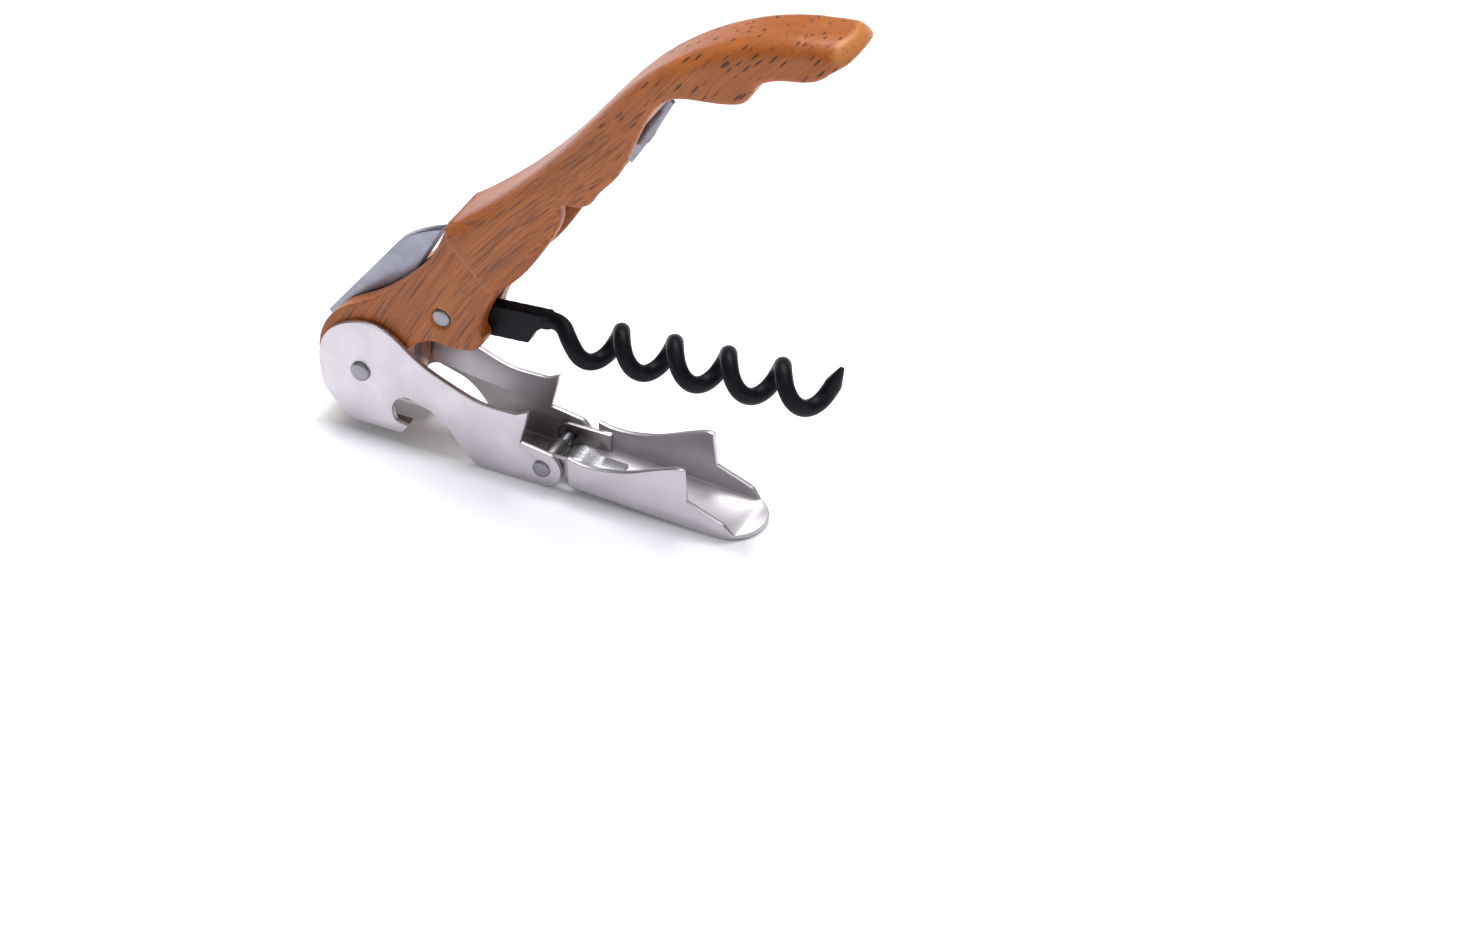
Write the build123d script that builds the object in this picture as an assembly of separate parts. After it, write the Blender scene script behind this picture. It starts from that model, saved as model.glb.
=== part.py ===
from build123d import *
import os
from math import cos, pi, radians, sin

# A two-step waiter's corkscrew, in millimetres. X runs along the lever from its head to its foot,
# Y across it, Z up. It stands on the belly of the lever arm and on the tongue of the foot.
# Profiles are drawn about the lever pin with the corkscrew shut, then turned to the half-open pose.

# Pose at rest
LIFT = 47.5             # handle raised from shut, degrees
WORM_SWING = 42.8       # worm swung out of the handle, degrees
PIVOT_HEIGHT = 11.8     # lever pin above the ground
PIVOT_BACK = 28.0       # lever pin behind the origin

# Fits
RUN = 0.05              # radial play of a pin in its bore
SIDE_PLAY = 0.1         # play between a wall and what turns beside it
CLEAR = 0.4             # room between parts that pass each other

# Lever of folded sheet
SHEET = 0.9
LEVER_WIDTH = 11.3
HEAD_RADIUS = 9.4
HEAD_CENTRE_X = 1.2
HEAD_FLAT = 0.8         # back of the head inside its circle
HOOK_DROP = 9.8         # underside of the cap hooks below the lever pin
HOOK_LIP = 2.4          # inward lip of each cap hook
HOOK_REACH = 6.8
LUG_RADIUS = 3.3
HINGE_X = 31.4          # foot pin from the lever pin
STEP_X = 28.6           # first bottle step
STEP_HEIGHT = 6.3
WEB_FROM = 19.5         # arm's web starts this far from the lever pin, past the open arch
WEB_GAP = 3.0           # arm's web ends this far short of the foot pin
FOOT_GAP = 4.5          # foot's walls start this far past the foot pin
FOOT_STEP_X = 56.0      # second bottle step
TONGUE_FROM = 62.0      # foot lies flat on the ground from here
FOOT_END = 66.8
FOOT_RISE = 1.4         # foot's floor above the ground at the hinge
EAR_RADIUS = 2.2

# Pins
LEVER_PIN_RADIUS = 1.15
FOOT_PIN_RADIUS = 0.95
WORM_PIN_RADIUS = 1.0
FOIL_PIN_RADIUS = 0.5
PIN_HEAD_OVER = 0.5     # how far a rivet's head stands out around its shank
PIN_HEAD_THICK = 0.45
WASHER_THICK = 0.2
LEVER_WASHER_RADIUS = 3.4
SLEEVE_WALL = 0.55
SLEEVE_LENGTH = 4.6

# Handle
NECK_HEAD_RADIUS = 7.0  # clear of the cap hooks' lips and of a cap in the notch
NECK_CREST = 9.6        # neck's back over the lever pin
GRIP_WIDTH = 14.4       # at the shoulder
TAIL_WIDTH = 10.8
GRIP_ROUND = 3.0        # along the back
BELLY_ROUND = 1.0       # along the edges of the belly and the tail
BELLY_TOP = 4.5         # these edges have their middles below this
SHOULDER = 32.8         # start of the grip, from the lever pin
HANDLE_REACH = 116.0    # end of the tail's profile, from the lever pin
TAIL_BOW = 2.2          # rounding of the tail's end, seen from the back
TAIL_TRIM = 1.9         # thin lip taken off the end of the profile
SLOT_ROOF = 3.4         # roof of the coil's slot above the lever pin
COUNTERBORE = 0.5       # depth of the worm rivet's recess

# Worm
WORM_PIN_X = 19.3
WORM_PIN_Z = -1.2
SHANK_RISE = 2.2        # flat shank's upper edge above its pin, and radius of its eye
SHANK_DROP = 3.6        # flat shank's lower edge below its pin
SHANK_THICK = 2.3
SHANK_LENGTH = 17.0
ROOT_LENGTH = 1.4       # wire's run inside the end of the shank
OVERSWING = 0.8         # room for the open shank to lean back past square
WIRE_RADIUS = 1.35
HELIX_RADIUS = 2.8      # centre of the wire
HELIX_DROP = 1.9        # axis of the helix below the pin
LEAD = 3.0              # wire's bend from the shank into the helix
PITCH = 9.0
QUARTERS = 19           # quarter turns of the helix
POINT_LENGTH = 3.6
POINT_RADIUS = 0.4

# Knife
BLADE_THICK = 1.8
KNIFE_WASHER_THICK = 0.2
KNIFE_HUB = 4.0
SPINE = 11.7            # blade's back above the lever pin
KNIFE_TIP_X = 28.8

# Foil cutter
FOIL_THICK = 0.8
FOIL_PIN_DEPTH = 0.5

LEVER_INSIDE = LEVER_WIDTH - 2 * SHEET
HINGE = (HINGE_X, LUG_RADIUS - PIVOT_HEIGHT)
FOOT_START = HINGE_X + FOOT_GAP
EAR_OUTSIDE = LEVER_INSIDE - 2 * SIDE_PLAY
NECK_WIDTH = LEVER_INSIDE - 2 * (WASHER_THICK + SIDE_PLAY)
SLOT_KNIFE = BLADE_THICK + 2 * KNIFE_WASHER_THICK + SIDE_PLAY
SLOT_SHANK = SHANK_THICK + 2 * SIDE_PLAY
WORM_OUTSIDE = HELIX_RADIUS + WIRE_RADIUS
SLOT_WORM = 2 * (WORM_OUTSIDE + CLEAR)
WORM_PIN = (WORM_PIN_X, WORM_PIN_Z)
HELIX_START = SHANK_LENGTH + LEAD
TAIL_CORNER = HANDLE_REACH - TAIL_TRIM - TAIL_BOW
FAR_AWAY = 200.0


def across(outline, low, high):
    """Solid of a closed outline in the XZ plane, from low to high across Y."""
    face = Plane.XZ * make_face(outline)
    return Pos(0, low, 0) * extrude(face, high - low, dir=(0, 1, 0))


def centred(outline, width):
    return across(outline, -width / 2, width / 2)


def polygon(*points):
    return Polyline(*points, close=True)


def disc(centre, radius, low, high):
    return across(Pos(*centre) * Edge.make_circle(radius), low, high)


def rod(centre, radius, width):
    return disc(centre, radius, -width / 2, width / 2)


def ring(centre, inner, outer, low, high):
    return disc(centre, outer, low, high) - rod(centre, inner, FAR_AWAY)


def on_circle(centre, radius, angle):
    turn = radians(angle)
    return centre[0] + radius * cos(turn), centre[1] + radius * sin(turn)


def on_grip(share, height):
    """Point at a share of the grip's length from the shoulder to the tip of the tail."""
    return SHOULDER + share * (HANDLE_REACH - SHOULDER), height


def arm_underside(lift=0.0, shift=0.0):
    """Arch from the cap notch down to the belly; lifted and shifted it is the web's inner face."""
    arch = [(10.8, -3.5), (14.2, -5.2), (16.4, -7.8), (22.4, -PIVOT_HEIGHT)]
    return Spline(*[(x + shift, z + lift) for x, z in arch], tangents=((1, -0.2), (1, 0)))


def arm_outline():
    head = (HEAD_CENTRE_X, 0)
    crown = on_circle(head, HEAD_RADIUS, 48)
    chin = on_circle(head, HEAD_RADIUS, 235)
    inset = ((90, 0), (130, 0.5), (175, 1), (208, 0.33))
    round_back = [on_circle(head, HEAD_RADIUS - share * HEAD_FLAT, angle) for angle, share in inset]
    back = Spline(crown, *round_back, chin, tangents=((-0.743, 0.669), (0.7, -0.71)))
    heel = (chin[0] + 1.6, -HOOK_DROP)
    toe = (HOOK_REACH, -HOOK_DROP)
    hook_tip = (HOOK_REACH + 1.2, 1.6 - HOOK_DROP)
    hook_root = (HOOK_REACH - 0.9, 2.2 - HOOK_DROP)
    notch_top = (8.2, -2.7)
    arch = arm_underside()
    lug_low = (HINGE_X, -PIVOT_HEIGHT)
    lug_top = on_circle(HINGE, LUG_RADIUS, 60)
    step_low = (STEP_X - 0.9, HINGE[1] + LUG_RADIUS + 0.4)
    step_high = (STEP_X + 0.3, step_low[1] + STEP_HEIGHT - 1.8)
    horn = (STEP_X + 0.6, step_low[1] + STEP_HEIGHT)
    horn_back = (STEP_X - 1.5, horn[1] - 1.1)
    top = Spline(horn_back, (20.7, 0.5), (15.9, 2.1), crown, tangents=((-1, 0), (-0.743, 0.669)))
    return [
        top,
        back,
        Polyline(chin, heel, toe, hook_tip, hook_root),
        ThreePointArc(hook_root, (5.5, -4.8), notch_top),
        Line(notch_top, arch @ 0),
        arch,
        Line(arch @ 1, lug_low),
        ThreePointArc(lug_low, on_circle(HINGE, LUG_RADIUS, 0), lug_top),
        Polyline(lug_top, step_low, step_high, horn, horn_back),
    ]


def lever_arm():
    body = centred(arm_outline(), LEVER_WIDTH)
    web = arm_underside(SHEET, SHEET / 2)
    web_end = HINGE_X - WEB_GAP
    lip_top = SHEET - HOOK_DROP
    notch_x = HOOK_REACH + 2.6
    inside = [
        Polyline((-FAR_AWAY, lip_top), (notch_x, lip_top), web @ 0),
        web,
        Polyline(web @ 1, (web_end, SHEET - PIVOT_HEIGHT), (web_end, -FAR_AWAY), (FAR_AWAY, -FAR_AWAY),
                 (FAR_AWAY, FAR_AWAY), (-FAR_AWAY, FAR_AWAY), (-FAR_AWAY, lip_top)),
    ]
    body -= centred(inside, LEVER_INSIDE)
    between_hooks = polygon((-FAR_AWAY, 0), (notch_x, 0), (notch_x, -FAR_AWAY), (-FAR_AWAY, -FAR_AWAY))
    body -= centred(between_hooks, LEVER_INSIDE - 2 * HOOK_LIP)
    open_arch = polygon((notch_x, FAR_AWAY), (WEB_FROM, FAR_AWAY),
                        (WEB_FROM, -FAR_AWAY), (notch_x, -FAR_AWAY))
    body -= centred(open_arch, LEVER_INSIDE)
    body -= rod((0, 0), LEVER_PIN_RADIUS + RUN, FAR_AWAY)
    return body - rod(HINGE, FOOT_PIN_RADIUS, FAR_AWAY)


def foot_floor(x):
    """Height of the foot's underside, which falls from the hinge to the flat tongue."""
    share = max(0.0, (TONGUE_FROM - x) / (TONGUE_FROM - FOOT_START))
    return share * FOOT_RISE - PIVOT_HEIGHT


def foot_outline():
    start_top = HINGE[1] + 3.4
    horn = (FOOT_STEP_X - 0.3, -1.0)
    edge = Spline((FOOT_START, start_top), (FOOT_START + 5, start_top - 0.5), (46.0, -4.5),
                  (FOOT_STEP_X - 1.4, -0.9), tangents=((1, -0.4), (1, 0.35)))
    return [
        edge,
        Polyline(edge @ 1, horn, (FOOT_STEP_X + 0.2, -6.8), (FOOT_STEP_X + 6.4, -9.2),
                 (FOOT_STEP_X + 7.8, SHEET - PIVOT_HEIGHT), (FOOT_END, SHEET - PIVOT_HEIGHT),
                 (FOOT_END, -PIVOT_HEIGHT), (TONGUE_FROM, -PIVOT_HEIGHT),
                 (FOOT_START, foot_floor(FOOT_START)), (FOOT_START, start_top)),
    ]


def lever_foot():
    body = centred(foot_outline(), LEVER_WIDTH)
    body -= centred(polygon((FOOT_START - 1, foot_floor(FOOT_START) + SHEET),
                            (FOOT_START, foot_floor(FOOT_START) + SHEET),
                            (TONGUE_FROM, SHEET - PIVOT_HEIGHT), (FAR_AWAY, SHEET - PIVOT_HEIGHT),
                            (FAR_AWAY, FAR_AWAY), (FOOT_START - 1, FAR_AWAY)), LEVER_INSIDE)
    round_x = FOOT_END - LEVER_WIDTH / 2
    plan = Pos(round_x / 2, 0) * Rectangle(round_x, LEVER_WIDTH) + Pos(round_x, 0) * Circle(LEVER_WIDTH / 2)
    body &= Pos(0, 0, -FAR_AWAY / 2) * extrude(plan, FAR_AWAY)
    joggle_x = FOOT_START + 0.4
    bar_end = joggle_x + 2.2
    bar = polygon((HINGE_X, HINGE[1] - 1.2), (bar_end, HINGE[1] - 1.2),
                  (bar_end, HINGE[1] + EAR_RADIUS), (HINGE_X, HINGE[1] + EAR_RADIUS))
    joggle = polygon((joggle_x, HINGE[1] - 1.2), (bar_end, HINGE[1] - 1.2),
                     (bar_end, HINGE[1] + EAR_RADIUS), (joggle_x, HINGE[1] + EAR_RADIUS))
    for side in (-1, 1):
        inner = side * (EAR_OUTSIDE / 2 - SHEET)
        outer = side * EAR_OUTSIDE / 2
        wall = side * (LEVER_WIDTH / 2 - SHEET / 2)
        body += across(bar, min(inner, outer), max(inner, outer))
        body += disc(HINGE, EAR_RADIUS, min(inner, outer), max(inner, outer))
        body += across(joggle, min(inner, wall), max(inner, wall))
    return body - rod(HINGE, FOOT_PIN_RADIUS + RUN, FAR_AWAY)


def rivet(centre, radius, half_width):
    """Rivet across the object: shank and near head, ending flush with the far head's face."""
    reach = half_width + PIN_HEAD_THICK
    head = disc(centre, radius + PIN_HEAD_OVER, -reach, -half_width)
    return disc(centre, radius, -reach, reach) + head


def rivet_cap(centre, radius, half_width):
    return ring(centre, radius, radius + PIN_HEAD_OVER, half_width, half_width + PIN_HEAD_THICK)


def foot_sleeve():
    low = SHEET + SIDE_PLAY - EAR_OUTSIDE / 2
    return ring(HINGE, FOOT_PIN_RADIUS, FOOT_PIN_RADIUS + SLEEVE_WALL, low, low + SLEEVE_LENGTH)


def foot_spring():
    """Leaf on the foot's floor, arched up towards the sleeve on the hinge."""
    thick = 0.5
    width = 4.4
    back = FOOT_START + 6.5
    seat = FOOT_START + 3.0
    lip = HINGE_X + FOOT_PIN_RADIUS + SLEEVE_WALL + CLEAR
    floor_back = foot_floor(back) + SHEET
    floor_seat = foot_floor(seat) + SHEET
    crest = HINGE[1] + 0.6
    over = Spline((lip, crest - 0.5), (lip + 2.0, crest), (seat, floor_seat + thick),
                  tangents=((1, 0.6), (1, -0.2)))
    under = Spline((seat, floor_seat), (lip + 2.0, crest - thick), (lip, crest - 0.5 - thick),
                   tangents=((-1, 0.2), (-1, -0.6)))
    leaf = [
        over,
        Polyline((seat, floor_seat + thick), (back, floor_back + thick), (back, floor_back),
                 (seat, floor_seat)),
        under,
        Line((lip, crest - 0.5 - thick), (lip, crest - 0.5)),
    ]
    return centred(leaf, width)


def neck_outline():
    brow = on_circle((0, 0), NECK_HEAD_RADIUS, 165)
    front = on_circle((0, 0), NECK_HEAD_RADIUS, 230)
    low = on_circle((0, 0), NECK_HEAD_RADIUS, 305)
    inside_grip = SHOULDER + 2.0
    back = Spline((inside_grip, 9.8), (29.7, 8.0), (25.4, 6.95), (18.2, 6.85), (11.0, 7.75),
                  (2.0, NECK_CREST), (-4.6, 6.6), brow, tangents=((-1, -0.3), (-0.26, -0.966)))
    belly = Spline(low, (9.8, -2.0), (14.6, -3.2), (18.4, -7.2), tangents=((0.82, 0.57), (1, -0.7)))
    nub = Spline((23.2, -7.7), (25.6, -5.2), (inside_grip, -3.1), tangents=((0.1, 1), (1, 0.1)))
    return [
        back,
        ThreePointArc(brow, front, low),
        belly,
        ThreePointArc(belly @ 1, (21.6, -8.3), nub @ 0),
        nub,
        Line(nub @ 1, back @ 0),
    ]


def grip_outline():
    back = Spline(on_grip(0.012, 9.7), on_grip(0.118, 8.4), on_grip(0.3385, 7.9), on_grip(0.5685, 9.05),
                  on_grip(0.709, 7.5), on_grip(0.849, 3.0), on_grip(1, -6.6), tangents=((1, -0.2), (1, -0.9)))
    heel = Spline(on_grip(0.949, -7.3), on_grip(0.8825, -6.3), on_grip(0.8415, -4.0), on_grip(0.779, -2.05),
                  on_grip(0.724, -2.25), tangents=((-1, 0.2), (-0.85, 0.5)))
    hollow = Spline(heel @ 1, on_grip(0.6185, 4.1), on_grip(0.4635, 1.15), on_grip(0.394, -0.3),
                    on_grip(0.3485, -0.5), on_grip(0.278, 1.2), tangents=(heel % 1, (-0.8, 0.75)))
    notch = TangentArc(hollow @ 1, on_grip(0.266, 1.15), tangent=hollow % 1)
    lobe = Spline(notch @ 1, on_grip(0.178, -2.0), on_grip(0.088, -3.2), on_grip(0, -2.9),
                  tangents=(notch % 1, (-1, 0.1)))
    tail = TangentArc(heel @ 0, back @ 1, tangent=(heel % 0) * -1)
    return [back, tail, heel, hollow, notch, lobe, Line(lobe @ 1, back @ 0)]


def knife_slot():
    """Room for the knife: a floor under its edge, its hub, and its swing over the head."""
    swing_end = on_circle((0, 0), 14.0, 236)
    slot_end = SHOULDER - CLEAR
    room = polygon((0, 0), (5.6, 1.0), (slot_end, 7.0), (slot_end, FAR_AWAY), (-FAR_AWAY, FAR_AWAY),
                   (-FAR_AWAY, swing_end[1]), swing_end)
    slot = centred(room, SLOT_KNIFE)
    return slot + rod((0, 0), KNIFE_HUB + CLEAR, SLOT_KNIFE)


def under(roof, start, end):
    """Outline open far below the handle."""
    return polygon((start, -FAR_AWAY), (end, -FAR_AWAY), (end, roof), (start, roof))


def worm_slot():
    """Narrow slot for the shank in the neck, wide slot for the coils in the grip, open at the belly."""
    neck_end = WORM_PIN_X - SHANK_DROP - CLEAR - OVERSWING
    wide_from = WORM_PIN_X + SHANK_LENGTH - ROOT_LENGTH - CLEAR / 2
    wide_to = WORM_PIN_X + HELIX_START + PITCH * QUARTERS / 4 + POINT_LENGTH
    narrow_roof = WORM_PIN_Z + SHANK_RISE + CLEAR
    narrow = under(narrow_roof, neck_end, wide_from + 1)
    wide = under(SLOT_ROOF, wide_from, wide_to)
    return centred(narrow, SLOT_SHANK) + centred(wide, SLOT_WORM)


def foil_outline():
    """Cutter across the head-side flank of the hollow, its edge just proud of the wood."""
    middle = (FOIL_FROM + FOIL_TO) / 2
    edge = ThreePointArc((FOIL_FROM, -1.0), (middle, 0.4), (FOIL_TO, 2.2))
    root = ThreePointArc((FOIL_TO, 4.6), (middle, 4.4), (FOIL_FROM, 2.6))
    return [edge, Line(edge @ 1, root @ 0), root, Line(root @ 1, edge @ 0)]


FOIL_FROM = on_grip(0.3485, 0)[0]
FOIL_TO = on_grip(0.5155, 0)[0]
FOIL_INNER = SLOT_WORM / 2
FOIL_OUTER = FOIL_INNER + FOIL_THICK
FOIL_PINS = ((FOIL_FROM + 3.5, 1.6), (FOIL_TO - 3.5, 3.4))


def from_above(plan):
    return extrude(make_face(plan), FAR_AWAY, both=True)


def flanks():
    """Room between the flanks, which close in from the shoulder to the tail."""
    head, tail = GRIP_WIDTH / 2, TAIL_WIDTH / 2
    return from_above(polygon((SHOULDER, -head), (HANDLE_REACH, -tail),
                              (HANDLE_REACH, tail), (SHOULDER, head)))


def tail_end():
    """Room short of the tail's bowed end."""
    wide = TAIL_WIDTH / 2 + CLEAR
    bow = ThreePointArc((TAIL_CORNER, -wide), (TAIL_CORNER + TAIL_BOW, 0), (TAIL_CORNER, wide))
    rest = Polyline((TAIL_CORNER, wide), (0, GRIP_WIDTH), (0, -GRIP_WIDTH), (TAIL_CORNER, -wide))
    return from_above([bow, rest])


def flank_edges(body):
    flanks = body.faces().sort_by(Axis.Y)
    return flanks[0].edges(), flanks[-1].edges()


def grip():
    body = centred(grip_outline(), GRIP_WIDTH) & flanks()
    backs = [edges.sort_by(SortBy.LENGTH)[-1] for edges in flank_edges(body)]
    body = fillet(backs, GRIP_ROUND)
    near, far = flank_edges(body)
    middles = [(edge, edge @ 0.5) for edge in near + far]
    belly = [edge for edge, middle in middles if middle.Z < BELLY_TOP and middle.X > SHOULDER + 1]
    return fillet(belly, BELLY_ROUND) & tail_end()


def handle():
    body = grip() + centred(neck_outline(), NECK_WIDTH)
    body -= knife_slot()
    body -= worm_slot()
    body -= across(foil_outline(), FOIL_INNER - 1, FOIL_OUTER)
    for place in FOIL_PINS:
        body -= disc(place, FOIL_PIN_RADIUS, FOIL_INNER, FOIL_OUTER + FOIL_PIN_DEPTH)
    body -= rod((0, 0), LEVER_PIN_RADIUS, FAR_AWAY)
    body -= rod(WORM_PIN, WORM_PIN_RADIUS, FAR_AWAY)
    for side in (-1, 1):
        floor_y = side * (NECK_WIDTH / 2 - COUNTERBORE)
        mouth_y = side * NECK_WIDTH
        recess = WORM_PIN_RADIUS + PIN_HEAD_OVER + CLEAR
        body -= disc(WORM_PIN, recess, min(floor_y, mouth_y), max(floor_y, mouth_y))
    return body


def foil_blade():
    body = across(foil_outline(), FOIL_INNER, FOIL_OUTER)
    for place in FOIL_PINS:
        body -= rod(place, FOIL_PIN_RADIUS, FAR_AWAY)
    return body


def foil_pin(place):
    return disc(place, FOIL_PIN_RADIUS, FOIL_INNER, FOIL_OUTER + FOIL_PIN_DEPTH)


def knife_blade():
    heel = (-0.8, SPINE - 1.65)
    belly = (20.6, SPINE)
    tip = (KNIFE_TIP_X, SPINE - 2.7)
    point = (KNIFE_TIP_X, SPINE - 3.1)
    outline = [
        Line(heel, belly),
        ThreePointArc(belly, (24.3, SPINE - 0.75), tip),
        Polyline(tip, point, (6.0, 3.2), (3.0, -0.5), (-0.5, 0.0), heel),
    ]
    body = centred(outline, BLADE_THICK) + rod((0, 0), KNIFE_HUB, BLADE_THICK)
    return body - rod((0, 0), LEVER_PIN_RADIUS + RUN, FAR_AWAY)


def knife_washer(side):
    inner = side * (BLADE_THICK / 2 + SIDE_PLAY / 2)
    outer = side * SLOT_KNIFE / 2
    return ring((0, 0), LEVER_PIN_RADIUS, KNIFE_HUB - CLEAR, min(inner, outer), max(inner, outer))


def lever_washer(side):
    inner = side * NECK_WIDTH / 2
    outer = inner + side * WASHER_THICK
    return ring((0, 0), LEVER_PIN_RADIUS, LEVER_WASHER_RADIUS, min(inner, outer), max(inner, outer))


def helix_point(quarter):
    """Centre of the wire after so many quarter turns of a right-hand helix."""
    turn = quarter * pi / 2
    height = HELIX_RADIUS * cos(turn) - HELIX_DROP
    return Vector(HELIX_START + PITCH * quarter / 4, -HELIX_RADIUS * sin(turn), height)


def helix_tangent(quarter):
    step = 0.01
    return (helix_point(quarter + step) - helix_point(quarter - step)).normalized()


def biarc(start, end, start_dir, end_dir):
    """Two arcs in space from start to end, smooth where they join and along both end directions."""
    span = end - start
    both = start_dir + end_dir
    spread = 2 * (1 - start_dir.dot(end_dir))
    along = span.dot(both)
    reach = ((along ** 2 + spread * span.dot(span)) ** 0.5 - along) / spread
    join = (start + end + (start_dir - end_dir) * reach) * 0.5
    return [TangentArc(start, join, tangent=start_dir), TangentArc(end, join, tangent=end_dir * -1)]


def shank():
    """Flat shank with its eye, stepped up to the wire at its end."""
    step = SHANK_LENGTH - 4.0
    outline = polygon((0, -SHANK_RISE), (3.0, -SHANK_DROP), (step, -SHANK_DROP), (step + 1.2, -1.5),
                      (SHANK_LENGTH - ROOT_LENGTH, -0.4), (SHANK_LENGTH, -0.4), (SHANK_LENGTH, SHANK_RISE),
                      (0, SHANK_RISE))
    return centred(outline, SHANK_THICK) + rod((0, 0), SHANK_RISE, SHANK_THICK)


def worm():
    """Flat shank, coil of round wire and a blunt point, stowed along X from its pin."""
    last = Vector(SHANK_LENGTH, 0, HELIX_RADIUS - HELIX_DROP)
    last_dir = Vector(1, 0, 0)
    root = Plane(origin=last, z_dir=last_dir) * Cylinder(
        WIRE_RADIUS, ROOT_LENGTH, align=(Align.CENTER, Align.CENTER, Align.MAX))
    start = Plane(origin=last, z_dir=last_dir)
    edges = []
    for quarter in range(1, QUARTERS + 1):
        place = helix_point(quarter)
        heading = helix_tangent(quarter)
        edges += biarc(last, place, last_dir, heading)
        last, last_dir = place, heading
    wire = sweep(start * Circle(WIRE_RADIUS), path=Wire(edges))
    point = Plane(origin=last, z_dir=last_dir) * Cone(
        WIRE_RADIUS, POINT_RADIUS, POINT_LENGTH, align=(Align.CENTER, Align.CENTER, Align.MIN))
    return shank() + root + wire + point - rod((0, 0), WORM_PIN_RADIUS + RUN, FAR_AWAY)


def on_ground(shape):
    return Pos(-PIVOT_BACK, 0, PIVOT_HEIGHT) * shape


def in_handle(shape):
    return on_ground(Rot(0, -LIFT, 0) * shape)


LEVER_HALF = LEVER_WIDTH / 2
LEVER_RIVET_HALF = LEVER_HALF + SIDE_PLAY / 2
WORM_RIVET_HALF = NECK_WIDTH / 2 - COUNTERBORE

parts = {
    "lever_arm": on_ground(lever_arm()),
    "lever_foot": on_ground(lever_foot()),
    "foot_pin": on_ground(rivet(HINGE, FOOT_PIN_RADIUS, LEVER_HALF)),
    "foot_pin_cap": on_ground(rivet_cap(HINGE, FOOT_PIN_RADIUS, LEVER_HALF)),
    "foot_sleeve": on_ground(foot_sleeve()),
    "foot_spring": on_ground(foot_spring()),
    "handle": in_handle(handle()),
    "lever_pin": in_handle(rivet((0, 0), LEVER_PIN_RADIUS, LEVER_RIVET_HALF)),
    "lever_pin_cap": in_handle(rivet_cap((0, 0), LEVER_PIN_RADIUS, LEVER_RIVET_HALF)),
    "lever_washer_near": in_handle(lever_washer(-1)),
    "lever_washer_far": in_handle(lever_washer(1)),
    "worm_pin": in_handle(rivet(WORM_PIN, WORM_PIN_RADIUS, WORM_RIVET_HALF)),
    "worm_pin_cap": in_handle(rivet_cap(WORM_PIN, WORM_PIN_RADIUS, WORM_RIVET_HALF)),
    "worm": in_handle(Pos(WORM_PIN_X, 0, WORM_PIN_Z) * Rot(0, WORM_SWING, 0) * worm()),
    "knife_blade": in_handle(knife_blade()),
    "knife_washer_near": in_handle(knife_washer(-1)),
    "knife_washer_far": in_handle(knife_washer(1)),
    "foil_blade": in_handle(foil_blade()),
    "foil_pin_front": in_handle(foil_pin(FOIL_PINS[0])),
    "foil_pin_rear": in_handle(foil_pin(FOIL_PINS[1])),
}

os.makedirs("parts", exist_ok=True)
for name, shape in parts.items():
    export_step(shape, f"parts/{name}.step")
    print(name, len(shape.solids()), round(shape.volume, 2))
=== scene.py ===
import bpy
from math import cos, pi, radians, sin
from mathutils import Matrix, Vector

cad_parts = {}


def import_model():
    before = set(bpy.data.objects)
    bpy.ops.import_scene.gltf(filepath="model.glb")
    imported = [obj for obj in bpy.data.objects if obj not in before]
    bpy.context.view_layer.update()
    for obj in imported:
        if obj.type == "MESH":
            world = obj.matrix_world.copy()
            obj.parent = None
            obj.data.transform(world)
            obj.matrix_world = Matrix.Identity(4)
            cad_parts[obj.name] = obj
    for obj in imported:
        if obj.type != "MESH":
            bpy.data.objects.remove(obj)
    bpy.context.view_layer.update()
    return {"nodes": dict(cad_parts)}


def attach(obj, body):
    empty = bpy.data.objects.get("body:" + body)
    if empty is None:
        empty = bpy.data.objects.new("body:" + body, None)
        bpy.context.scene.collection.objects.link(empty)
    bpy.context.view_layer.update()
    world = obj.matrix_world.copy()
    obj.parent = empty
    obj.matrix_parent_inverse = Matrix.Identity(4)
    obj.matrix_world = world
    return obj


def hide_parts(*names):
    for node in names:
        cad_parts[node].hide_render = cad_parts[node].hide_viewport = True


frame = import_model()

MM = 0.001
LIFT = radians(47.5)                # handle raised from shut
LEVER_PIN = Vector((-28.0, 0, 11.8)) * MM
FOOT_PIN = Vector((3.4, 0, 3.3)) * MM


def in_handle(x, z):
    """Row-frame place of a point of the shut handle, in millimetres from the lever pin."""
    along = x * cos(LIFT) - z * sin(LIFT)
    up = x * sin(LIFT) + z * cos(LIFT)
    return LEVER_PIN + Vector((along, 0, up)) * MM


def from_row(place):
    """The reverse of in_handle: millimetres along and above the shut handle."""
    off = (place - LEVER_PIN) / MM
    return off.x * cos(LIFT) + off.z * sin(LIFT), off.z * cos(LIFT) - off.x * sin(LIFT)


WORM_PIN = in_handle(19.3, -1.2)

# Wood, in millimetres along the shut handle
SHOULDER = 32.8                     # start of the grip
TAIL_CENTRE, TAIL_ROUND = 105.36, 8.74      # plan circle of the tail's bowed end
TAIL_SOFT, TAIL_PASSES = 108.5, 24  # the tail is sanded round from here
WOOD_VOXEL, WOOD_PASSES = 0.29, 5   # mesh size and sanding of the whole handle
SLOT_HALF = 1.2                     # half the width of the neck's slots
GRAIN_DRIFT = 6.0                   # slow wander of the fibres
GRIP_GRAIN = 0.03                   # rise of the grip's fibres along the handle
NECK_GRAIN = 0.17                   # further rise of the neck's fibres
WOOD_DEEP, WOOD_PALE = (0.44, 0.107, 0.010, 1), (0.54, 0.158, 0.026, 1)
STREAK_BROWN, FIBRE_BROWN = (0.27, 0.068, 0.012, 1), (0.20, 0.049, 0.009, 1)
LINE_BROWN, DASH_BROWN = (0.09, 0.022, 0.006, 1), (0.05, 0.014, 0.007, 1)
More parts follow.
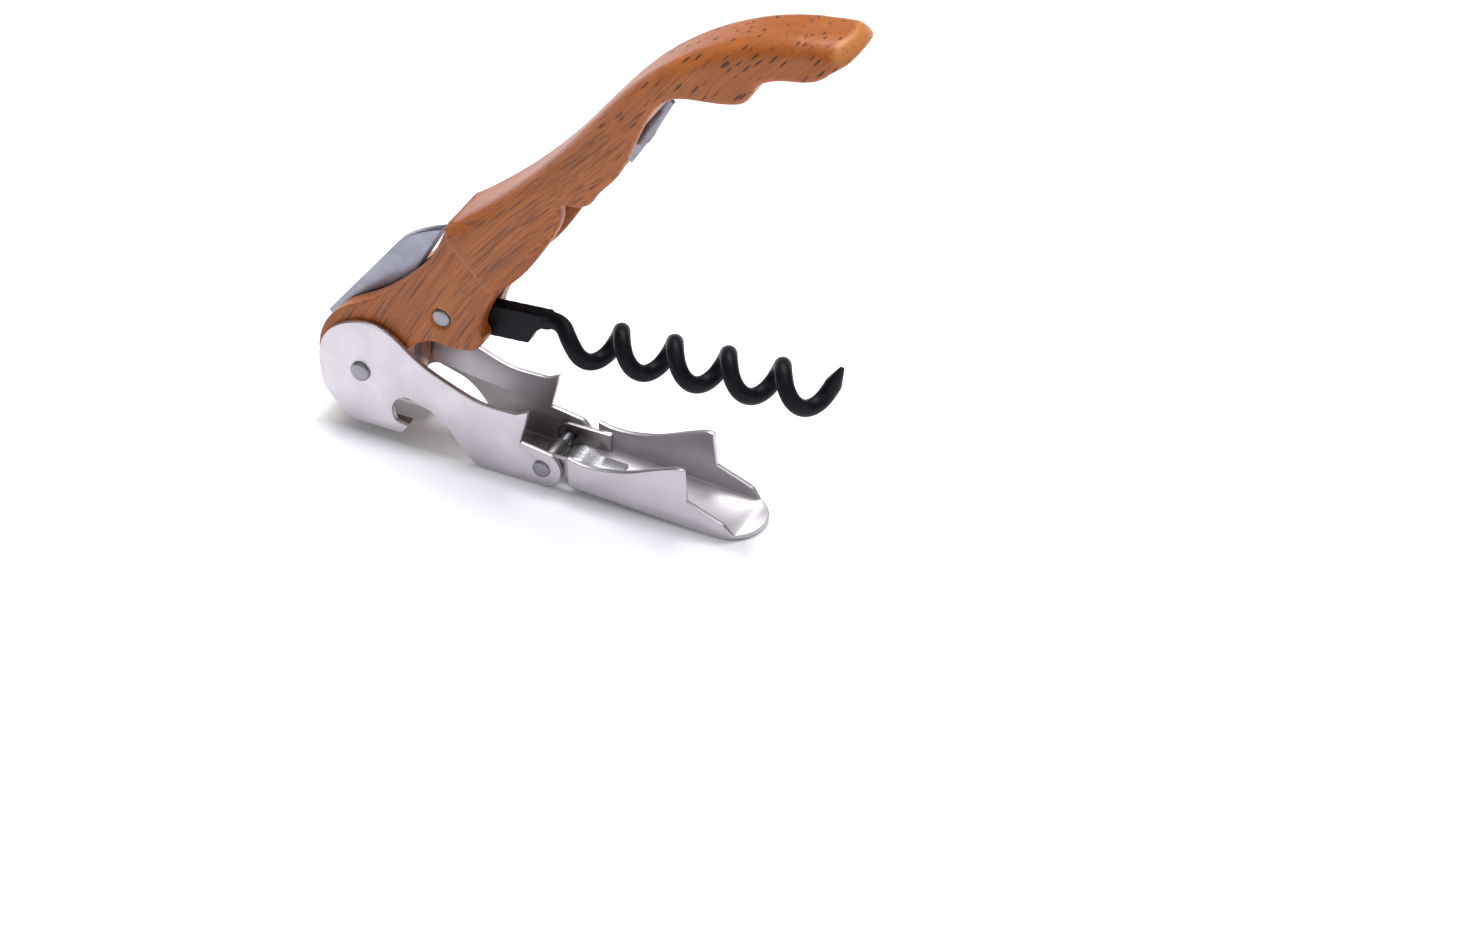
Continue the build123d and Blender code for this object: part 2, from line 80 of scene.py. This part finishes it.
# the end colour is painted light on the tail's end face; the slot colour is painted shade
END_LIGHT_ORANGE, SLOT_SHADE_BROWN = (0.74, 0.30, 0.085, 1), (0.05, 0.014, 0.006, 1)

# Metal, in millimetres
PLATE_EASE, SMALL_EASE = 0.16, 0.10         # rounding of edges
WALL_INSIDE = 4.75                  # inner faces of the lever's walls, either side of the middle
POCKET_SHADE_DEPTH = 0.8                   # how far painted shade darkens the plate in the pocket before the foot's hinge
# colour of that painted shade
POCKET_SHADE_BROWN = (0.06, 0.05, 0.04, 1)
GRIND_FROM, GRIND_TO = (9.0, 8.0), (24.0, 9.0)      # line where the knife's ground face starts
EDGE_FROM, EDGE_TO = (6.0, 3.2), (28.8, 8.6)        # knife's cutting edge
EDGE_SHARE = 0.16                   # thickness left at the cutting edge
RIVET_BRIM, RIVET_CROWN = 0.5, 0.45         # reach of a rivet's head past its shank and past the plate
COAT_VOXEL, COAT_PASSES = 0.17, 8   # mesh size and softening of the worm's coat
COAT_BLACK, COAT_GREY = (0.004, 0.005, 0.008, 1), (0.008, 0.010, 0.015, 1)

# Stage
SHADOW_PATCH_SPAN, SHADOW_PATCH_HALF = (-34.0, 36.0), 4.0         # the lever's place on the floor, mm, where the lift is held off for a painted contact shadow
FLOOR_SIZE, FLOOR_DROP = 6.0, 0.00005
FLOOR_LIFT = 0.42                   # lifts the paper to white for the camera, except at the lever, where a painted contact shadow is left
FAR_LIFT = 0.75                     # more of it far off, where the lamps fade
SKY_LIGHT = 0.30                    # strength of the room's light
SENSOR = 36.0
FOCUS = 5000.0 / 1477.0             # focal length over the picture's width
VIEW_TURN, VIEW_LIFT = radians(26.0), radians(37.23)
VIEW_RIGHT, VIEW_UP, VIEW_BACK = 30.80, -0.77, 774.1        # the camera's place along its own axes, mm


# Shaping

def work_on(piece):
    bpy.ops.object.select_all(action="DESELECT")
    piece.select_set(True)
    bpy.context.view_layer.objects.active = piece


def edit(piece, kind="VERT"):
    work_on(piece)
    bpy.ops.object.mode_set(mode="EDIT")
    bpy.ops.mesh.select_mode(type=kind)
    bpy.ops.mesh.select_all(action="DESELECT")


def done():
    bpy.ops.object.mode_set(mode="OBJECT")


def pick(piece, test):
    """Selects the vertices whose place passes the test."""
    edit(piece)
    done()
    for vert in piece.data.vertices:
        vert.select = test(vert.co)
    bpy.ops.object.mode_set(mode="EDIT")


def copy_of(node, name):
    """Merged copy of a CAD node, its flat faces joined up."""
    source = frame["nodes"][node]
    piece = bpy.data.objects.new(name, source.data.copy())
    bpy.context.scene.collection.objects.link(piece)
    edit(piece)
    bpy.ops.mesh.select_all(action="SELECT")
    bpy.ops.mesh.remove_doubles(threshold=0.002 * MM)
    bpy.ops.mesh.customdata_custom_splitnormals_clear()
    bpy.ops.mesh.dissolve_limited(angle_limit=radians(0.1))
    done()
    return piece


def apply(piece, kind, **settings):
    work_on(piece)
    modifier = piece.modifiers.new(kind.lower(), kind)
    for key, value in settings.items():
        setattr(modifier, key, value)
    bpy.ops.object.modifier_apply(modifier=modifier.name)


def ease(piece, width, segments=3, angle=28):
    """Rounds every edge sharper than the angle."""
    apply(piece, "BEVEL", width=width * MM, segments=segments, limit_method="ANGLE",
          angle_limit=radians(angle), use_clamp_overlap=False)


def rework(piece, grain, passes):
    """Even fine mesh with softened edges, as sanding or a thick coat leaves them."""
    apply(piece, "REMESH", mode="VOXEL", voxel_size=grain * MM)
    apply(piece, "SMOOTH", factor=0.5, iterations=passes)
    work_on(piece)
    bpy.ops.object.shade_smooth()


def smooth(piece, angle=32):
    work_on(piece)
    bpy.ops.object.shade_smooth_by_angle(angle=radians(angle))


def finish_piece(piece, body, slot, material, *nodes):
    piece.data.materials.clear()
    piece.data.materials.append(material)
    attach(piece, body)
    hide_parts(*nodes)


def turned(name, centre, stations):
    """Solid turned about a cross axis, from (place across, radius) stations in mm."""
    start, radius = stations[0]
    bpy.ops.object.select_all(action="DESELECT")
    bpy.ops.mesh.primitive_circle_add(
        vertices=48, radius=radius * MM, fill_type="NGON",
        location=(centre.x, start * MM, centre.z), rotation=(pi / 2, 0, 0))
    piece = bpy.context.object
    piece.name = name
    bpy.ops.object.transform_apply(location=True, rotation=True, scale=True)
    edit(piece, "FACE")
    bpy.ops.mesh.select_all(action="SELECT")
    for place, next_radius in stations[1:]:
        step = (0, (place - start) * MM, 0)
        bpy.ops.mesh.extrude_region_move(TRANSFORM_OT_translate={"value": step})
        share = next_radius / radius
        bpy.ops.transform.resize(value=(share, 1, share),
                                 center_override=(centre.x, place * MM, centre.z))
        start, radius = place, next_radius
    bpy.ops.mesh.select_all(action="SELECT")
    bpy.ops.mesh.normals_make_consistent(inside=False)
    done()
    smooth(piece, 40)
    return piece


# Materials

class Nodes:
    """Short way to add and join nodes in a material's or a group's tree."""

    def __init__(self, tree):
        self.tree = tree

    def add(self, kind, settings=None, **inputs):
        node = self.tree.nodes.new(kind)
        for key, value in (settings or {}).items():
            setattr(node, key, value)
        for key, value in inputs.items():
            self.feed(node, key.replace("_", " "), value)
        return node

    def feed(self, node, key, value):
        socket = node.inputs[int(key)] if key.isdigit() else node.inputs[key]
        if isinstance(value, bpy.types.NodeSocket):
            self.tree.links.new(value, socket)
        else:
            socket.default_value = value

    def math(self, operation, first, second=0.0, third=0.0):
        node = self.add("ShaderNodeMath", {"operation": operation})
        for index, value in enumerate((first, second, third)):
            self.feed(node, str(index), value)
        return node.outputs[0]

    def stretch(self, vector, scale, offset=(0, 0, 0)):
        node = self.add("ShaderNodeMapping", Vector=vector)
        node.inputs["Scale"].default_value = scale
        node.inputs["Location"].default_value = offset
        return node.outputs[0]

    def noise(self, vector, scale=1.0, detail=2.0, roughness=0.5, distortion=0.0):
        node = self.add("ShaderNodeTexNoise", Vector=vector, Scale=scale, Detail=detail,
                        Roughness=roughness, Distortion=distortion)
        return node.outputs["Fac"]

    def ramp(self, value, low, high, top=1.0, bottom=0.0):
        node = self.add("ShaderNodeMapRange", {"clamp": True}, Value=value)
        limits = {"From Min": low, "From Max": high, "To Min": bottom, "To Max": top}
        for key, number in limits.items():
            node.inputs[key].default_value = number
        return node.outputs[0]

    def blend(self, share, first, second):
        node = self.add("ShaderNodeMix", {"data_type": "RGBA"})
        self.feed(node, "0", share)
        self.feed(node, "6", first)
        self.feed(node, "7", second)
        return node.outputs[2]

    def bump(self, height, strength, distance):
        node = self.add("ShaderNodeBump", Height=height, Strength=strength, Distance=distance)
        return node.outputs[0]


def group(name, inputs, outputs):
    tree = bpy.data.node_groups.new(name, "ShaderNodeTree")
    for label, kind, value in inputs:
        socket = tree.interface.new_socket(label, in_out="INPUT", socket_type=kind)
        if value is not None:
            socket.default_value = value
    for label, kind in outputs:
        tree.interface.new_socket(label, in_out="OUTPUT", socket_type=kind)
    return tree, Nodes(tree), tree.nodes.new("NodeGroupInput"), tree.nodes.new("NodeGroupOutput")


def scuffs_group():
    """Fine marks of handling: long hair scratches, soft smears and a slight waviness."""
    tree, n, given, out = group("handling_marks", [
        ("Vector", "NodeSocketVector", None), ("Roughness", "NodeSocketFloat", 0.25),
        ("Spread", "NodeSocketFloat", 0.1), ("Along", "NodeSocketVector", (0.04, 1.0, 1.0))],
        [("Roughness", "NodeSocketFloat"), ("Height", "NodeSocketFloat"),
         ("Smear", "NodeSocketFloat")])
    along = n.add("ShaderNodeVectorMath", {"operation": "MULTIPLY"})
    n.feed(along, "0", given.outputs["Vector"])
    n.feed(along, "1", given.outputs["Along"])
    hair = n.noise(along.outputs[0], 9.0, 3.0, 0.6)
    hair = n.ramp(hair, 0.35, 0.72)
    smear = n.noise(given.outputs["Vector"], 0.22, 4.0, 0.55, 0.6)
    smear = n.ramp(smear, 0.3, 0.72)
    wave = n.noise(given.outputs["Vector"], 0.35, 2.0, 0.4)
    mixed = n.math("ADD", n.math("MULTIPLY", hair, 0.45), n.math("MULTIPLY", smear, 0.55))
    spread = n.math("MULTIPLY_ADD", mixed, given.outputs["Spread"], given.outputs["Roughness"])
    height = n.math("ADD", n.math("MULTIPLY", hair, 0.25), wave)
    n.feed(out, "Roughness", spread)
    n.feed(out, "Height", height)
    n.feed(out, "Smear", smear)
    return tree


SCUFFS = scuffs_group()


def shader(name):
    material = bpy.data.materials.new(name)
    material.use_nodes = True
    n = Nodes(material.node_tree)
    principled = material.node_tree.nodes["Principled BSDF"]
    coords = n.add("ShaderNodeTexCoord").outputs["Object"]
    return material, n, principled, coords


def in_mm(n, coords, origin=(0, 0, 0), turn=0.0):
    """Object coordinates in millimetres, about an origin and turned about the cross axis."""
    node = n.add("ShaderNodeMapping", {"vector_type": "TEXTURE"}, Vector=coords)
    node.inputs["Location"].default_value = origin
    node.inputs["Rotation"].default_value = (0, turn, 0)
    node.inputs["Scale"].default_value = (MM, MM, MM)
    return node.outputs[0]


def metal(name, colour, tint, roughness, spread, along=(0.04, 1.0, 1.0), bump=0.03, turn=0.0,
          pocket=False):
    """Plated or ground metal with handling marks, and with pocket set, painted shade in the pocket
    before the hinge.
    """
    material, n, principled, coords = shader(name)
    place = in_mm(n, coords, LEVER_PIN, turn)
    marks = n.add("ShaderNodeGroup", {"node_tree": SCUFFS}, Vector=place, Roughness=roughness,
                  Spread=spread, Along=along)
    tone = n.blend(marks.outputs["Smear"], colour, tint)
    if pocket:
        # painted shade in the pocket between the arm's walls
        tone = n.blend(pocket_mask(n, coords), tone, POCKET_SHADE_BROWN)
    n.feed(principled, "Base Color", tone)
    n.feed(principled, "Roughness", marks.outputs["Roughness"])
    n.feed(principled, "Normal", n.bump(marks.outputs["Height"], 0.25, bump * MM))
    principled.inputs["Metallic"].default_value = 1.0
    return material


def pocket_mask(n, coords):
    """Painted shade, low inside the arm's end, between its walls."""
    place = n.add("ShaderNodeSeparateXYZ", Vector=in_mm(n, coords))
    along, aside, above = (place.outputs[axis] for axis in "XYZ")
    aside = n.math("ABSOLUTE", aside)
    between = n.ramp(aside, WALL_INSIDE + 0.1, WALL_INSIDE - 0.1, POCKET_SHADE_DEPTH)
    ends = n.math("MULTIPLY", n.ramp(along, -9.0, -3.0), n.ramp(along, 8.0, 5.0))
    low = n.ramp(above, 6.0, 4.8)
    return n.math("MULTIPLY", between, n.math("MULTIPLY", ends, low))


def wood_material():
    """Oiled wood: fibres along the handle, streaks, and dark dashes of pores near the tail."""
    material, n, principled, coords = shader("oiled_wood")
    place = in_mm(n, coords, LEVER_PIN, -LIFT)
    split = n.add("ShaderNodeSeparateXYZ", Vector=place)
    along, aside = split.outputs["X"], split.outputs["Y"]
    drift = n.noise(n.stretch(place, (0.02, 0.05, 0.05)), 1.0, 2.0)
    drift = n.math("MULTIPLY", n.math("SUBTRACT", drift, 0.5), GRAIN_DRIFT)
    short_of_grip = n.math("SUBTRACT", SHOULDER, along)
    in_neck = n.math("MAXIMUM", short_of_grip, 0.0)
    lift = n.math("MULTIPLY_ADD", short_of_grip, GRIP_GRAIN, drift)
    lift = n.math("MULTIPLY_ADD", in_neck, NECK_GRAIN, lift)
    shift = n.add("ShaderNodeCombineXYZ", Y=drift, Z=lift)
    bent = n.add("ShaderNodeVectorMath", {"operation": "ADD"})
    n.feed(bent, "0", place)
    n.feed(bent, "1", shift.outputs[0])
    grain = bent.outputs[0]
    broad = n.noise(n.stretch(grain, (0.02, 0.16, 0.16)), 1.0, 3.0, 0.55)
    streak = n.noise(n.stretch(grain, (0.03, 0.9, 0.9), (7, 3, 1)), 1.0, 4.0, 0.6)
    fibre = n.noise(n.stretch(grain, (0.09, 3.0, 3.0), (2, 9, 4)), 1.0, 3.0, 0.65)
    lines = n.add("ShaderNodeTexVoronoi", {"feature": "F1"},
                  Vector=n.stretch(grain, (0.07, 2.4, 2.4)), Scale=1.0, Randomness=1.0)
    dashes = n.add("ShaderNodeTexVoronoi", {"feature": "F1"},
                   Vector=n.stretch(grain, (0.25, 0.62, 1.5), (1.7, 6.3, 2.9)),
                   Scale=1.0, Randomness=1.0)
    line = n.math("MULTIPLY", n.ramp(lines.outputs["Distance"], 0.34, 0.20),
                  n.ramp(along, 95.0, 65.0, 1.0, 0.25))
    dash = n.math("MULTIPLY", n.ramp(dashes.outputs["Distance"], 0.29, 0.20),
                  n.ramp(along, 50.0, 78.0, 1.0, 0.1))
    dash = n.math("MULTIPLY", dash, n.ramp(dashes.outputs["Color"], 0.2, 0.6, 1.0, 0.4))
    before_tail = n.ramp(along, 95.0, 65.0, 1.0, 0.45)
    hairs = n.math("MULTIPLY", n.ramp(fibre, 0.42, 0.64, 0.58), before_tail)
    tone = n.blend(n.ramp(broad, 0.3, 0.7), WOOD_DEEP, WOOD_PALE)
    tone = n.blend(n.ramp(streak, 0.42, 0.70, 0.45), tone, STREAK_BROWN)
    tone = n.blend(hairs, tone, FIBRE_BROWN)
    tone = n.blend(n.math("MULTIPLY", line, 0.72), tone, LINE_BROWN)
    tone = n.blend(n.math("MULTIPLY", dash, 0.9), tone, DASH_BROWN)
    # painted light: the tail's end face is made lighter, as light falls on it
    from_centre = n.math("SUBTRACT", along, TAIL_CENTRE)
    reach = n.math("ADD", n.math("POWER", from_centre, 2.0), n.math("POWER", aside, 2.0))
    reach = n.math("SQRT", reach)
    lit_end_wall = n.math("MULTIPLY", n.ramp(reach, TAIL_ROUND - 0.9, TAIL_ROUND - 0.3, 0.55),
                      n.ramp(from_centre, 4.0, 5.0))
    tone = n.blend(lit_end_wall, tone, END_LIGHT_ORANGE)
    # painted shade inside the neck's slots, with some darker bare wood there
    slot_shade = n.ramp(n.math("ABSOLUTE", aside), SLOT_HALF + 0.15, SLOT_HALF, 0.7)
    slot_shade = n.math("MULTIPLY", slot_shade, n.ramp(short_of_grip, 0.0, 0.5))
    tone = n.blend(slot_shade, tone, SLOT_SHADE_BROWN)
    n.feed(principled, "Base Color", tone)
    gloss = n.math("MULTIPLY_ADD", fibre, 0.16, 0.36)
    n.feed(principled, "Roughness", n.math("MULTIPLY_ADD", dash, 0.2, gloss))
    pores = n.math("ADD", dash, n.math("MULTIPLY", line, 0.5))
    dips = n.math("ADD", n.math("MULTIPLY", fibre, 0.35), pores)
    n.feed(principled, "Normal", n.bump(n.math("MULTIPLY", dips, -1.0), 0.35, 0.10 * MM))
    principled.inputs["Specular IOR Level"].default_value = 0.42
    principled.inputs["Coat Weight"].default_value = 0.16
    principled.inputs["Coat Roughness"].default_value = 0.36
    return material


def coat_material():
    """Matte black non-stick coat with a faint sheen and a fine pebble."""
    material, n, principled, coords = shader("black_coat")
    place = in_mm(n, coords, WORM_PIN)
    pebble = n.noise(place, 5.0, 3.0, 0.6)
    cloud = n.noise(place, 0.5, 3.0)
    n.feed(principled, "Base Color", n.blend(n.ramp(cloud, 0.3, 0.7), COAT_BLACK, COAT_GREY))
    n.feed(principled, "Roughness", n.math("MULTIPLY_ADD", pebble, 0.2, 0.34))
    n.feed(principled, "Normal", n.bump(pebble, 0.3, 0.05 * MM))
    principled.inputs["Specular IOR Level"].default_value = 0.13
    return material


WOOD = wood_material()
NICKEL = metal("nickel_plate", (0.60, 0.575, 0.60, 1), (0.55, 0.525, 0.55, 1), 0.35, 0.10,
               pocket=True)
STEEL = metal("satin_steel", (0.31, 0.32, 0.375, 1), (0.24, 0.245, 0.29, 1), 0.26, 0.16,
              along=(0.05, 1.6, 1.6), bump=0.02, turn=-LIFT)
RIVET = metal("rivet_steel", (0.31, 0.30, 0.335, 1), (0.24, 0.235, 0.26, 1), 0.26, 0.2,
              along=(0.6, 0.6, 0.6))
SPRING = metal("spring_steel", (0.70, 0.70, 0.71, 1), (0.58, 0.58, 0.60, 1), 0.18, 0.14)
BRONZE = metal("washer_bronze", (0.55, 0.36, 0.17, 1), (0.42, 0.26, 0.11, 1), 0.3, 0.15,
               along=(0.5, 0.5, 0.5))
COAT = coat_material()


# Pieces

def wooden_handle():
    piece = copy_of("handle", "handle_wood")
    rework(piece, WOOD_VOXEL, WOOD_PASSES)
    pick(piece, lambda place: from_row(place)[0] > TAIL_SOFT)
    bpy.ops.mesh.vertices_smooth(factor=0.5, repeat=TAIL_PASSES)
    done()
    finish_piece(piece, "handle", "wood", WOOD, "handle")


def plate(node, name, body):
    piece = copy_of(node, name)
    ease(piece, PLATE_EASE)
    smooth(piece)
    finish_piece(piece, body, "nickel", NICKEL, node)


def coated_worm():
    piece = copy_of("worm", "worm_coated")
    rework(piece, COAT_VOXEL, COAT_PASSES)
    finish_piece(piece, "worm", "coating", COAT, "worm")


def ground_blade():
    piece = copy_of("knife_blade", "knife_ground")
    grind_from = in_handle(*GRIND_FROM)
    run = (in_handle(*GRIND_TO) - grind_from).normalized()
    edit(piece)
    bpy.ops.mesh.select_all(action="SELECT")
    bpy.ops.mesh.bisect(plane_co=grind_from, plane_no=(-run.z, 0, run.x))
    done()
    slope = (EDGE_TO[1] - EDGE_FROM[1]) / (EDGE_TO[0] - EDGE_FROM[0])

    def on_edge(place):
        along, above = from_row(place)
        line = EDGE_FROM[1] + (along - EDGE_FROM[0]) * slope
        return along > EDGE_FROM[0] - 0.3 and above < line + 0.2

    pick(piece, on_edge)
    bpy.ops.transform.resize(value=(1, EDGE_SHARE, 1), center_override=(0, 0, 0))
    done()
    ease(piece, SMALL_EASE, 2, 25)
    smooth(piece, 25)
    finish_piece(piece, "knife", "steel", STEEL, "knife_blade")


def rivets():
    for name, centre, shank, half, body, nodes in (
            ("lever_rivet", LEVER_PIN, 1.15, 5.7, "handle", ("lever_pin", "lever_pin_cap")),
            ("worm_rivet", WORM_PIN, 1.0, 3.95, "handle", ("worm_pin", "worm_pin_cap")),
            ("foot_rivet", FOOT_PIN, 0.95, 5.65, "lever", ("foot_pin", "foot_pin_cap"))):
        head = shank + RIVET_BRIM
        crown = half + RIVET_CROWN
        profile = [(crown, head * 0.55), (crown - 0.05, head * 0.82), (crown - 0.16, head * 0.96),
                   (crown - 0.3, head), (half, head), (half, shank)]
        stations = [(-place, radius) for place, radius in profile] + profile[::-1]
        finish_piece(turned(name, centre, stations), body, "steel", RIVET, *nodes)


def small_pieces():
    for node, name, body, slot, material in (
            ("foot_sleeve", "hinge_sleeve", "lever", "nickel", NICKEL),
            ("foot_spring", "hinge_spring", "foot", "spring_steel", SPRING),
            ("foil_blade", "foil_cutter", "handle", "spring_steel", STEEL)):
        piece = copy_of(node, name)
        ease(piece, SMALL_EASE, 2)
        smooth(piece)
        finish_piece(piece, body, slot, material, node)
    for node in ("lever_washer_near", "lever_washer_far", "knife_washer_near", "knife_washer_far"):
        frame["nodes"][node].material_slots[0].material = BRONZE
    for node in ("foil_pin_front", "foil_pin_rear"):
        frame["nodes"][node].material_slots[0].material = RIVET


# Stage

def floor():
    bpy.ops.object.select_all(action="DESELECT")
    bpy.ops.mesh.primitive_plane_add(size=FLOOR_SIZE, location=(0, 0, -FLOOR_DROP))
    ground = bpy.context.object
    ground.name = "studio_floor"
    material, n, principled, coords = shader("studio_paper")
    fleck = n.noise(coords, 400.0, 2.0)
    n.feed(principled, "Base Color", n.blend(fleck, (0.90, 0.90, 0.91, 1), (0.94, 0.94, 0.94, 1)))
    principled.inputs["Roughness"].default_value = 0.9
    principled.inputs["Specular IOR Level"].default_value = 0.0
    # the lift's lavender colour paints the soft shadows bluish
    principled.inputs["Emission Color"].default_value = (0.88, 0.87, 1, 1)
    place = n.add("ShaderNodeSeparateXYZ", Vector=in_mm(n, coords))
    low, high = SHADOW_PATCH_SPAN
    beyond = n.math("ABSOLUTE", n.math("SUBTRACT", place.outputs["X"], (low + high) / 2))
    beyond = n.math("SUBTRACT", beyond, (high - low) / 2)
    aside = n.math("SUBTRACT", n.math("ABSOLUTE", place.outputs["Y"]), SHADOW_PATCH_HALF)
    away = n.math("MAXIMUM", beyond, aside)
    # painted contact shadow: no lift under the lever, full lift from 5 mm off
    lift = n.math("ADD", n.ramp(away, 1.0, 5.0, FLOOR_LIFT), n.ramp(away, 150.0, 900.0, FAR_LIFT))
    path = n.add("ShaderNodeLightPath")
    seen = n.math("MAXIMUM", path.outputs["Is Glossy Ray"], path.outputs["Is Transmission Ray"])
    seen = n.math("MAXIMUM", path.outputs["Is Camera Ray"], seen)
    n.feed(principled, "Emission Strength", n.math("MULTIPLY", seen, lift))
    ground.data.materials.append(material)


def lamp(name, place, size, power, aim=(0, 0, 0.03)):
    light = bpy.data.lights.new(name, "AREA")
    light.size = size
    light.energy = power
    holder = bpy.data.objects.new(name, light)
    bpy.context.scene.collection.objects.link(holder)
    holder.location = place
    holder.rotation_euler = (Vector(aim) - Vector(place)).to_track_quat("-Z", "Y").to_euler()


def world():
    """White to the camera, softer as light; metal mirrors bright air above and dimmer walls."""
    studio = bpy.data.worlds.new("studio_air")
    bpy.context.scene.world = studio
    studio.use_nodes = True
    n = Nodes(studio.node_tree)
    back = studio.node_tree.nodes["Background"]
    path = n.add("ShaderNodeLightPath")
    aim = n.add("ShaderNodeSeparateXYZ", Vector=n.add("ShaderNodeTexCoord").outputs["Generated"])
    room = n.ramp(aim.outputs["Z"], 0.55, 0.95, 1.0, 0.2)
    mirrored = n.math("MAXIMUM", path.outputs["Is Glossy Ray"], path.outputs["Is Transmission Ray"])
    strength = n.math("MULTIPLY_ADD", mirrored, n.math("SUBTRACT", room, SKY_LIGHT), SKY_LIGHT)
    n.feed(back, "Color", (0.97, 0.97, 1, 1))
    n.feed(back, "Strength", n.math("MAXIMUM", path.outputs["Is Camera Ray"], strength))


def camera():
    view = bpy.data.cameras.new("photo_view")
    view.sensor_width = SENSOR
    view.lens = FOCUS * SENSOR
    view.clip_start = 0.01
    holder = bpy.data.objects.new("photo_view", view)
    bpy.context.scene.collection.objects.link(holder)
    right = Vector((cos(VIEW_TURN), sin(VIEW_TURN), 0))
    up = Vector((-sin(VIEW_TURN) * sin(VIEW_LIFT), cos(VIEW_TURN) * sin(VIEW_LIFT), cos(VIEW_LIFT)))
    place = VIEW_RIGHT * right + VIEW_UP * up + VIEW_BACK * right.cross(up)
    holder.location = place * MM
    holder.rotation_euler = (pi / 2 - VIEW_LIFT, 0, VIEW_TURN)
    bpy.context.scene.camera = holder


wooden_handle()
plate("lever_arm", "lever_arm_plate", "lever")
plate("lever_foot", "lever_foot_plate", "foot")
coated_worm()
ground_blade()
rivets()
small_pieces()
floor()
world()
lamp("key_softbox", (-0.10, 0.30, 1.0), 0.7, 11.0)
lamp("fill_softbox", (0.45, -0.75, 0.45), 0.6, 1.1)
camera()
bpy.context.scene.view_settings.view_transform = "Standard"
